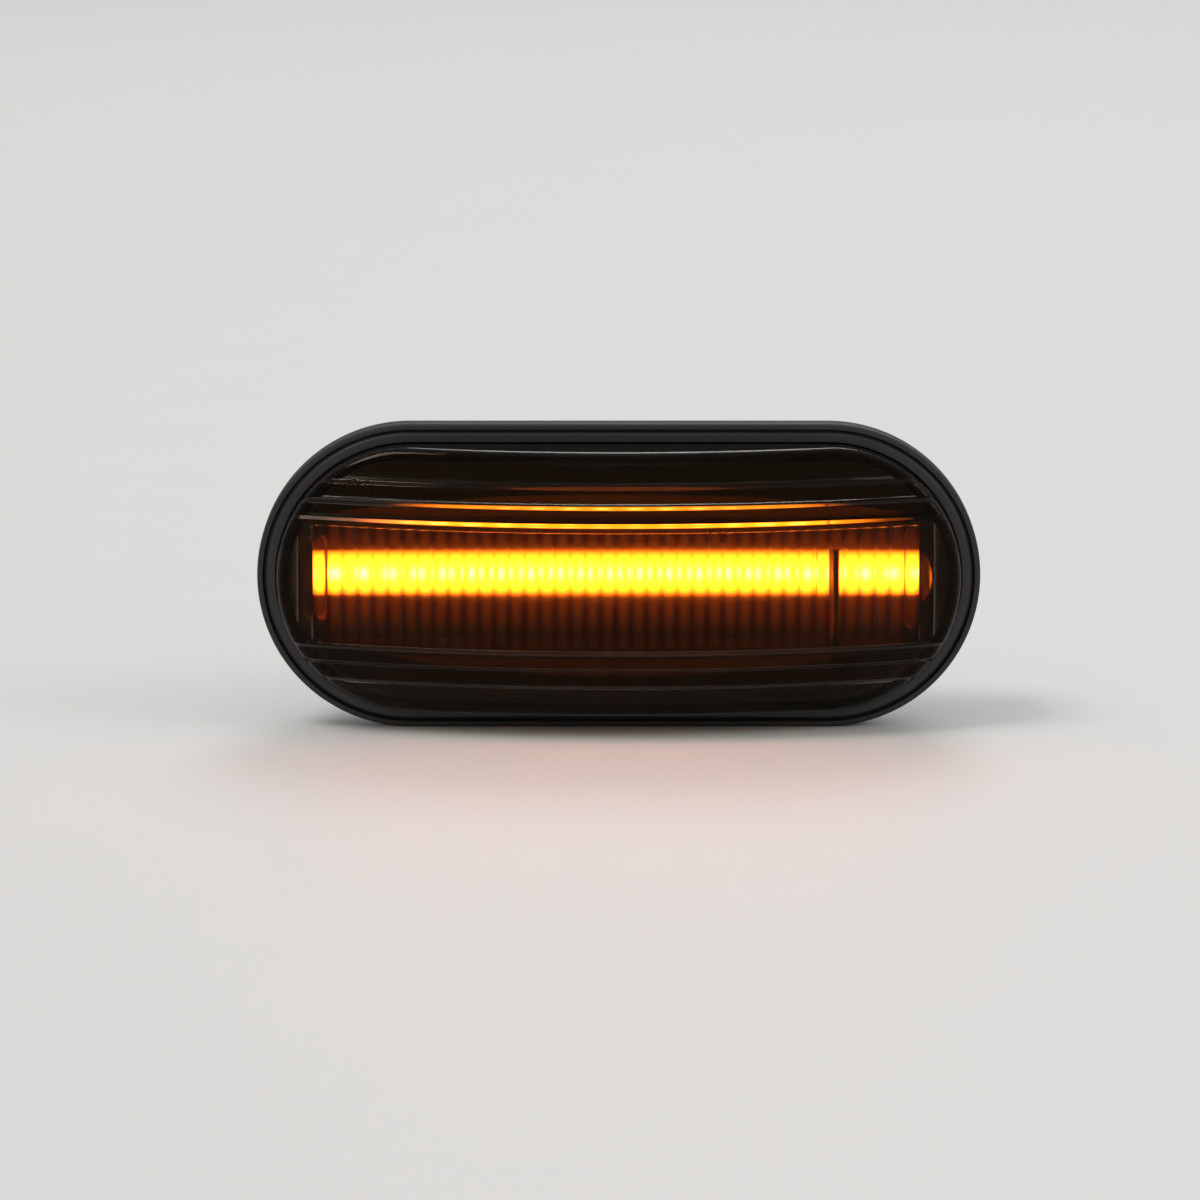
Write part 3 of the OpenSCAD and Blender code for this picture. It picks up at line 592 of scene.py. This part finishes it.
def flute_crest():
    """The flutes' rise as a function of x, with the valleys between them rounded, and their greatest rise."""
    crown = math.sqrt(FLUTE_R ** 2 - (FLUTE_PITCH / 2) ** 2)
    across = np.linspace(-FLUTE_PITCH, FLUTE_PITCH, 4001)
    in_flute = (across / FLUTE_PITCH + 0.5) % 1.0 - 0.5
    rise_at = averaged(across, np.sqrt(FLUTE_R ** 2 - (in_flute * FLUTE_PITCH) ** 2) - crown, VALLEY_ROUND)
    return lambda x: rise_at(off_middle(x)), FLUTE_R - crown


def painted_shade_at(outer, inner, count, inner_start, ledges):
    """Painted shade of each point of the moulding, which darkens how bright the lit bar looks through it: on the first
    two ledges outside, and inside in the valleys, in stripes above and below the bar, past the bar's right end and at
    the flutes' lower ends."""
    crest_at, full_rise = flute_crest()
    painted_shade = np.ones((count, 4))
    high, along = np.abs(outer[:, 2]), np.abs(outer[:, 0])
    # Painted shade on the ledges, strongest at the lamp's middle and fading towards its ends
    for corner, (colour, fade_from, fade_to) in zip(ledges, (LEDGE_1_PAINTED_SHADE, LEDGE_2_PAINTED_SHADE)):
        on_ledge = (high >= corner - OUTER_ROUND) & (high <= corner + LEDGE_H + OUTER_ROUND)
        bright = np.clip((fade_to - along[on_ledge]) / (fade_to - fade_from), FADED_LEDGE, 1) ** 2
        painted_shade[:len(outer)][on_ledge, :3] = bright[:, None] * colour
    x, z = inner[:, 0], inner[:, 2]
    in_band = (z < BAND - FLUTE_STOP) & (z > -BAND)
    below_bar = np.clip((STRIPES_BELOW[0] - z) / STRIPES_BELOW[1], 0, 1)
    above_bar = np.clip((z - STRIPES_ABOVE[0]) / STRIPES_ABOVE[1], 0, 1)
    near_valley = np.clip((np.abs(off_middle(x)) - STRIPE_EDGE[0]) / STRIPE_EDGE[1], 0, 1)
    painted_stripe = np.where(in_band, np.maximum(below_bar, above_bar) * near_valley, 0.0)
    painted_valley_shade = np.where(in_band, VALLEY_PAINTED_SHADE * (1 - crest_at(x) / full_rise), 0.0)
    shade = (1 - painted_valley_shade[:, None]) * (1 - painted_stripe[:, None] * STRIPE_PAINTED_SHADE)
    last = in_band & (x > LAST_COLUMN_X)
    shade[last] *= np.where(x[last] > PAST_COLUMNS_X, PAST_COLUMNS_PAINTED_SHADE, LAST_COLUMN_PAINTED_SHADE)[:, None]
    # Painted shade, near black, at the flutes' lower ends
    shade[(z < -BAND + 2 * FLUTE_END) & (z > -BAND - LEDGE_H - 2 * INNER_ROUND)] = FLUTE_FOOT_PAINTED_SHADE
    painted_shade[inner_start:inner_start + len(inner), :3] = shade
    return painted_shade


def build_lens():
    outer_depth, corners = rounded_steps(OUTER_ROUND)
    inner_depth, _ = rounded_steps(INNER_ROUND)
    crest_at, _ = flute_crest()
    inner_r = END_R - WALL

    def outer_columns(z):
        reach = half_length(z, END_R)
        ends = [0.0, *NEAR_RIM, 1.3, 1.8]
        middle = np.linspace(-reach + OUTER_MARGIN, reach - OUTER_MARGIN, OUTER_COLUMNS).tolist()
        return [-reach + e for e in ends] + middle + [reach - e for e in reversed(ends)]

    def outer_at(x, z):
        y = AXIS_Y - np.sqrt((LENS_R - outer_depth(z)) ** 2 - x ** 2)
        far = np.hypot(x - np.clip(x, -HALF_STRAIGHT, HALF_STRAIGHT), z)
        into = np.clip(1 - (END_R - far) / RIM_ROUND, 0, 1)
        return y + RIM_ROUND * (1 - np.sqrt(np.clip(1 - into ** 2, 0, 1)))

    all_x = [(i - FLUTES / 2 + 0.5 + p / 2) * FLUTE_PITCH + FLUTE_SHIFT for i in range(FLUTES) for p in FLUTE_PLACES]
    all_x.append(FLUTES / 2 * FLUTE_PITCH + FLUTE_SHIFT)
    all_x = np.array([-HALF_STRAIGHT - END_R] + all_x + [HALF_STRAIGHT + END_R])

    def inner_columns(z):
        reach = half_length(z, inner_r)
        return np.clip(all_x, -reach, reach)

    def inner_at(x, z):
        y = AXIS_Y - np.sqrt((LENS_R - WALL - inner_depth(z)) ** 2 - x ** 2)
        stop = np.where(z > 0, BAND - FLUTE_STOP, BAND)
        fade = np.clip((np.abs(z) - (stop - FLUTE_END)) / FLUTE_END, 0, 1)
        return y + crest_at(x) * np.sqrt(1 - fade ** 2)

    flute_ends = [stop - FLUTE_END + FLUTE_END * k for stop in (BAND, BAND - FLUTE_STOP) for k in FLUTE_END_PLACES]
    outer_rows = rows_for(END_R, corners, OUTER_ROUND)
    inner_rows = rows_for(inner_r, corners, INNER_ROUND, flute_ends)
    outer, outer_quads, outer_edge = face_grid(END_R, outer_columns, outer_at, outer_rows)
    inner, inner_quads, inner_edge = face_grid(inner_r, inner_columns, inner_at, inner_rows)
    points = list(map(tuple, outer))
    faces = list(outer_quads)

    def add_skirt(edge, r, rings, flip):
        loops = [edge]
        for ring in skirt_rings([points[i] for i in edge], r, rings):
            start = len(points)
            points.extend(map(tuple, ring))
            loops.append(list(range(start, start + len(edge))))
        n = len(edge)
        for a, b in zip(loops[:-1], loops[1:]):
            for k in range(n):
                quad = (a[k], a[(k + 1) % n], b[(k + 1) % n], b[k])
                faces.append(tuple(reversed(quad)) if flip else quad)
        return loops[-1]

    outer_foot = add_skirt(outer_edge, END_R, OUTER_RINGS, True)
    first = len(points)
    points.extend(map(tuple, inner))
    faces.extend(tuple(first + k for k in reversed(q)) for q in inner_quads)
    inner_foot = add_skirt([first + k for k in inner_edge], inner_r, INNER_RINGS, False)
    faces.extend(zip_loops(outer_foot, inner_foot, points))

    lens = mesh_object("lens_moulding", points, faces, smoked_lens())
    inside = lens.data.attributes.new("inside", "FLOAT", "POINT")
    inside.data.foreach_set("value", [1.0 if k >= first else 0.0 for k in range(len(points))])
    # Painted shade for each point, which the lens material multiplies into its colour
    painted_shade = lens.data.attributes.new("painted_shade", "FLOAT_COLOR", "POINT")
    painted_shade.data.foreach_set("color", painted_shade_at(outer, inner, len(points), first, (corners[0], corners[2])).ravel())
    clean_mesh(lens.data, 38)
    return lens


lens = build_lens()
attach(lens, "root")
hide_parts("lens")


# Pieces that repeat or run round the lamp, laid out by Geometry Nodes

def geometry_tree(name, inputs):
    tree = bpy.data.node_groups.new(name, "GeometryNodeTree")
    tree.interface.new_socket(name="Shape", in_out="INPUT", socket_type="NodeSocketGeometry")
    for label, kind in inputs:
        tree.interface.new_socket(name=label, in_out="INPUT", socket_type=kind)
    tree.interface.new_socket(name="Piece", in_out="OUTPUT", socket_type="NodeSocketGeometry")
    return tree, tree.nodes.new("NodeGroupInput").outputs, tree.nodes.new("NodeGroupOutput").inputs


def end_tree(tree, shape, start, end):
    real = tree.nodes.new("GeometryNodeRealizeInstances")
    finish = tree.nodes.new("GeometryNodeSetMaterial")
    tree.links.new(shape, real.inputs["Geometry"])
    tree.links.new(real.outputs["Geometry"], finish.inputs["Geometry"])
    tree.links.new(start["Finish"], finish.inputs["Material"])
    tree.links.new(finish.outputs["Geometry"], end["Piece"])


def row_tree():
    """Copies of one small shape in a straight row."""
    tree, start, end = geometry_tree("row_on_board", [
        ("Count", "NodeSocketInt"), ("First", "NodeSocketVector"), ("Step", "NodeSocketVector"),
        ("Finish", "NodeSocketMaterial")])
    line = tree.nodes.new("GeometryNodeMeshLine")
    line.mode, line.count_mode = "OFFSET", "TOTAL"
    tree.links.new(start["Count"], line.inputs["Count"])
    tree.links.new(start["First"], line.inputs["Start Location"])
    tree.links.new(start["Step"], line.inputs["Offset"])
    put = tree.nodes.new("GeometryNodeInstanceOnPoints")
    tree.links.new(line.outputs["Mesh"], put.inputs["Points"])
    tree.links.new(start["Shape"], put.inputs["Instance"])
    end_tree(tree, put.outputs["Instances"], start, end)
    return tree


def ring_tree():
    """A profile swept round an oblong, with its round ends moved further out along the lamp between two radii."""
    tree, start, end = geometry_tree("ring_round_flange", [
        ("Half straight", "NodeSocketFloat"), ("Radius", "NodeSocketFloat"), ("Points", "NodeSocketInt"),
        ("Shift", "NodeSocketFloat"), ("Shift from", "NodeSocketFloat"), ("Shift to", "NodeSocketFloat"),
        ("Finish", "NodeSocketMaterial")])
    circle = tree.nodes.new("GeometryNodeCurvePrimitiveCircle")
    tree.links.new(start["Points"], circle.inputs["Resolution"])
    tree.links.new(start["Radius"], circle.inputs["Radius"])
    profile = tree.nodes.new("GeometryNodeMeshToCurve")
    tree.links.new(start["Shape"], profile.inputs["Mesh"])
    swept = tree.nodes.new("GeometryNodeCurveToMesh")
    tree.links.new(circle.outputs["Curve"], swept.inputs["Curve"])
    tree.links.new(profile.outputs["Curve"], swept.inputs["Profile Curve"])
    place = tree.nodes.new("GeometryNodeInputPosition")
    split = tree.nodes.new("ShaderNodeSeparateXYZ")
    tree.links.new(place.outputs[0], split.inputs[0])
    flat = tree.nodes.new("ShaderNodeCombineXYZ")
    tree.links.new(split.outputs["X"], flat.inputs["X"])
    tree.links.new(split.outputs["Y"], flat.inputs["Y"])
    size = tree.nodes.new("ShaderNodeVectorMath")
    size.operation = "LENGTH"
    tree.links.new(flat.outputs[0], size.inputs[0])
    reach = tree.nodes.new("ShaderNodeMapRange")
    tree.links.new(size.outputs["Value"], reach.inputs["Value"])
    tree.links.new(start["Shift from"], reach.inputs["From Min"])
    tree.links.new(start["Shift to"], reach.inputs["From Max"])
    tree.links.new(start["Shift"], reach.inputs["To Max"])
    reach.inputs["To Min"].default_value = 0.0
    far = math_node(tree, "ADD", reach.outputs["Result"], start["Half straight"])
    move = tree.nodes.new("ShaderNodeCombineXYZ")
    tree.links.new(math_node(tree, "MULTIPLY", math_node(tree, "SIGN", split.outputs["X"]), far), move.inputs["X"])
    stretch = tree.nodes.new("GeometryNodeSetPosition")
    tree.links.new(swept.outputs["Mesh"], stretch.inputs["Geometry"])
    tree.links.new(move.outputs[0], stretch.inputs["Offset"])
    turn = tree.nodes.new("GeometryNodeTransform")
    turn.inputs["Rotation"].default_value = (math.pi / 2, 0, 0)
    tree.links.new(stretch.outputs["Geometry"], turn.inputs["Geometry"])
    end_tree(tree, turn.outputs["Geometry"], start, end)
    return tree


def laid_out(name, shape, tree, **values):
    """Runs the tree on the shape and keeps the result as a plain mesh."""
    modifier = shape.modifiers.new("layout", "NODES")
    modifier.node_group = tree
    for label, value in values.items():
        socket = next(s for s in tree.interface.items_tree
                      if s.item_type == "SOCKET" and s.in_out == "INPUT" and s.name == label.replace("_", " "))
        modifier[socket.identifier] = value
    evaluated = shape.evaluated_get(bpy.context.evaluated_depsgraph_get())
    mesh = bpy.data.meshes.new_from_object(evaluated)
    shape.modifiers.remove(modifier)
    bpy.data.objects.remove(shape)
    mesh.name = name
    clean_mesh(mesh, 35)
    return put_mesh(name, mesh)


def place_piece(piece, node):
    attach(piece, "root")
    if node:
        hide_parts(node)


ROW = row_tree()
RING = ring_tree()


def gasket_section():
    """The gasket's section as distance from the straight axis and depth: the lip in front, a groove round the outside,
    two grooves in the seat, and the inner edge."""
    lip = [(GASKET_R - LIP_ROUND * (1 - math.sin(a)), LIP_FRONT + LIP_ROUND * (1 - math.cos(a)))
           for a in np.linspace(0, math.pi / 2, 7)]
    outside = [(GASKET_R - d, y) for d, y in ((0.0, -1.75), (0.14, -1.65), (0.14, -1.4), (0.0, -1.3))]
    outer_corner = [(GASKET_R - d, y) for d, y in ((0.0, -0.2), (0.06, -0.06), (0.2, 0.0))]
    seat = [(r - d, y) for r in SEAT_GROOVES
            for d, y in ((0.0, 0.0), (0.15, -0.06), (0.28, -0.25), (0.8, -0.25), (0.93, -0.06), (1.08, 0.0))]
    inner_corner = [(SEAT_R + d, y) for d, y in ((0.2, 0.0), (0.04, -0.06), (0.0, -0.2), (0.0, SEAT_FRONT))]
    inside = [(LIP_R, SEAT_FRONT), (LIP_R, LIP_FRONT + 0.15), (LIP_R + 0.08, LIP_FRONT)]
    return lip + outside + outer_corner + seat + inner_corner + inside


def build_gasket():
    section = gasket_section()
    mesh = bpy.data.meshes.new("gasket_section")
    mesh.from_pydata([((r - GASKET_R) * MM, y * MM, 0) for r, y in section],
                     [(i, (i + 1) % len(section)) for i in range(len(section))], [])
    gasket = laid_out("gasket_moulding", put_mesh("gasket_section", mesh), RING,
                      Half_straight=HALF_STRAIGHT * MM, Radius=GASKET_R * MM, Points=178, Shift=TUB_LONGER * MM,
                      Shift_from=LIP_R * MM, Shift_to=SEAT_R * MM, Finish=finishes["gasket_rubber"])
    place_piece(gasket, "gasket")


build_gasket()


def block(l, h, y0, y1):
    """Points and faces of a block with its middle on the axis and small chamfers along its length."""
    half_l, half_h, edge = l / 2, h / 2, 0.06
    ring = [(half_h - edge, y0), (half_h, y0 + edge), (half_h, y1 - edge), (half_h - edge, y1),
            (edge - half_h, y1), (-half_h, y1 - edge), (-half_h, y0 + edge), (edge - half_h, y0)]
    points = [(x, y, z) for x in (-half_l, half_l) for z, y in ring]
    faces = [tuple(range(8)), tuple(range(15, 7, -1))]
    faces += [(k, k + 8, (k + 1) % 8 + 8, (k + 1) % 8) for k in range(8)]
    return points, faces


def dished_block(l, h, y0, y1, rim, floor, depth):
    """A block whose front face has a round dish."""
    corner = math.atan2(h, l)
    corners = {corner, math.pi - corner, math.pi + corner, -corner % (2 * math.pi)}
    turns = sorted({k * math.pi / 12 for k in range(24)} | corners)
    points, loops = [], []
    for y, reach in ((y1, None), (y0, None), (y0, rim), (y0 + depth, floor)):
        loops.append(range(len(points), len(points) + len(turns)))
        for a in turns:
            r = reach or min(l / 2 / max(abs(math.cos(a)), 1e-9), h / 2 / max(abs(math.sin(a)), 1e-9))
            points.append((r * math.cos(a), y, r * math.sin(a)))
    n = len(turns)
    faces = [tuple(loops[0]), tuple(reversed(loops[3]))]
    for low, high in zip(loops[:-1], loops[1:]):
        faces += [(low[k], high[k], high[(k + 1) % n], low[(k + 1) % n]) for k in range(n)]
    return points, faces


def dome(r, y, rise):
    """A flat-backed drop, such as the phosphor in an LED's dish."""
    rings, sides = 4, 20
    points = [(0, y - rise, 0)]
    for k in range(1, rings + 1):
        a = math.pi / 2 * k / rings
        points += [(r * math.sin(a) * math.cos(t), y - rise * math.cos(a), r * math.sin(a) * math.sin(t))
                   for t in np.linspace(0, 2 * math.pi, sides, endpoint=False)]
    faces = [(0, 1 + k, 1 + (k + 1) % sides) for k in range(sides)]
    for ring in range(rings - 1):
        start = 1 + sides * ring
        faces += [(start + k, start + sides + k, start + sides + (k + 1) % sides, start + (k + 1) % sides)
                  for k in range(sides)]
    faces.append(tuple(range(len(points) - sides, len(points))))
    return points, faces


def both_ends(shape, offset):
    """The same small shape twice, moved by the offset and by its opposite."""
    points, faces = shape
    moved = [tuple(np.add(p, offset)) for p in points] + [tuple(np.subtract(p, offset)) for p in points]
    return moved, list(faces) + [tuple(i + len(points) for i in f) for f in faces]


def build_row(name, shape, finish, node, count, first, step):
    """A row of one small shape, in place of the node or beside it."""
    points, faces = shape
    small = mesh_object(name + "_shape", points, faces, finishes[finish])
    row = laid_out(name, small, ROW, Count=count, First=Vector(first) * MM, Step=Vector((step, 0, 0)) * MM,
                   Finish=finishes[finish])
    place_piece(row, node)


def build_leds():
    first, front = (LED_FIRST, 0, 0), BOARD_FRONT - LED_T
    body = dished_block(LED_L, LED_H, front, BOARD_FRONT, DISH_RIM, DISH_FLOOR, DISH_DEPTH)
    phosphor = dome(DISH_FLOOR - 0.01, front + DISH_DEPTH, 0.18)
    terminal_l = 0.24
    terminals = both_ends(block(terminal_l, 2.0, BOARD_FRONT - 0.3, BOARD_FRONT), ((LED_L + terminal_l) / 2, 0, 0))
    build_row("led_bodies", body, "white_plastic", "led_chips", LEDS, first, LED_PITCH)
    build_row("led_phosphor", phosphor, "led", None, LEDS, first, LED_PITCH)
    build_row("led_terminals", terminals, "solder", None, LEDS, first, LED_PITCH)


def build_resistors():
    first, back = (RESISTOR_X, 0, RESISTOR_Z), BOARD_BACK + RESISTOR_T
    body = block(RESISTOR_W, RESISTOR_BODY, BOARD_BACK, back)
    cap = block(RESISTOR_W, RESISTOR_CAP, BOARD_BACK, back)
    caps = both_ends(cap, (0, 0, (RESISTOR_BODY + RESISTOR_CAP) / 2))
    build_row("resistor_bodies", body, "chip_black", "resistors", RESISTORS, first, RESISTOR_PITCH)
    build_row("resistor_caps", caps, "solder", None, RESISTORS, first, RESISTOR_PITCH)


build_leds()
build_resistors()


# CAD nodes keep their shape and get their finish, with edges softened by the second value in millimetres

NODE_FINISH = {
    "lens_seal": ("sealant", 0.0),
    "bezel": ("black_bezel", 0.2),
    "diffuser_long": ("light_bar", 0.15),
    "diffuser_short": ("light_bar", 0.15),
    "light_chamber": ("white_plastic", 0.1),
    "led_board": ("board", 0.0),
    "driver_chip": ("chip_black", 0.05),
    "transistors": ("chip_black", 0.05),
    "polarity_diode": ("chip_black", 0.08),
    "capacitor": ("capacitor", 0.1),
    "board_screws": ("plated_steel", 0.08),
    "solder_joints": ("solder", 0.1),
    "contact_strips": ("contact_brass", 0.04),
    "wedge_base": ("nylon", 0.15),
    "housing": ("black_housing", 0.25),
    "spring_clip": ("spring_steel", 0.06),
    "vent_membrane": ("membrane", 0.06),
}


def finish_node(name, finish, soft_edge):
    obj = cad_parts[name]
    obj.data.materials.clear()
    obj.data.materials.append(finishes[finish])
    if soft_edge:
        weld = obj.modifiers.new("merge", "WELD")
        weld.merge_threshold = 1e-6
        bevel = obj.modifiers.new("soft_edges", "BEVEL")
        bevel.width = soft_edge * MM
        bevel.segments = 3
        bevel.limit_method = "ANGLE"
        bevel.angle_limit = math.radians(35)
        bevel.harden_normals = False
        bevel.use_clamp_overlap = True


for node_name, (finish, soft_edge) in NODE_FINISH.items():
    finish_node(node_name, finish, soft_edge)


# Floor and light

def put_floor():
    half, z = 4.0, FLOOR_Z * MM
    mesh = bpy.data.meshes.new("floor")
    mesh.from_pydata([(-half, -half, z), (half, -half, z), (half, half, z), (-half, half, z)], [], [(0, 1, 2, 3)])
    mesh.materials.append(shaded("floor_paper", (0.78, 0.77, 0.75), 0.6, drift=0.012, gloss_drift=0.03,
                                 grain=900.0, bump=0.01))
    put_mesh("floor", mesh)


def put_light(name, place, size, power, colour):
    """A round soft light that aims at the lamp's origin."""
    data = bpy.data.lights.new(name, "AREA")
    data.shape = "DISK"
    data.size = size
    data.energy = power
    data.color = colour
    lamp = bpy.data.objects.new(name, data)
    bpy.context.scene.collection.objects.link(lamp)
    lamp.location = place
    lamp.rotation_euler = (-Vector(place)).to_track_quat("-Z", "Y").to_euler()


def put_world():
    world = bpy.data.worlds.new("studio")
    bpy.context.scene.world = world
    world.use_nodes = True
    back = world.node_tree.nodes["Background"]
    back.inputs["Color"].default_value = (0.86, 0.87, 0.88, 1)
    back.inputs["Strength"].default_value = 0.55


put_floor()
put_light("key", (-0.9, -0.4, 1.7), 0.8, 11.5, (1.0, 0.98, 0.95))
put_light("fill", (1.5, -0.5, 0.9), 0.9, 5.0, (0.95, 0.97, 1.0))
put_light("back", (0.2, 1.2, 1.1), 0.8, 5.0, (1.0, 1.0, 1.0))
put_world()
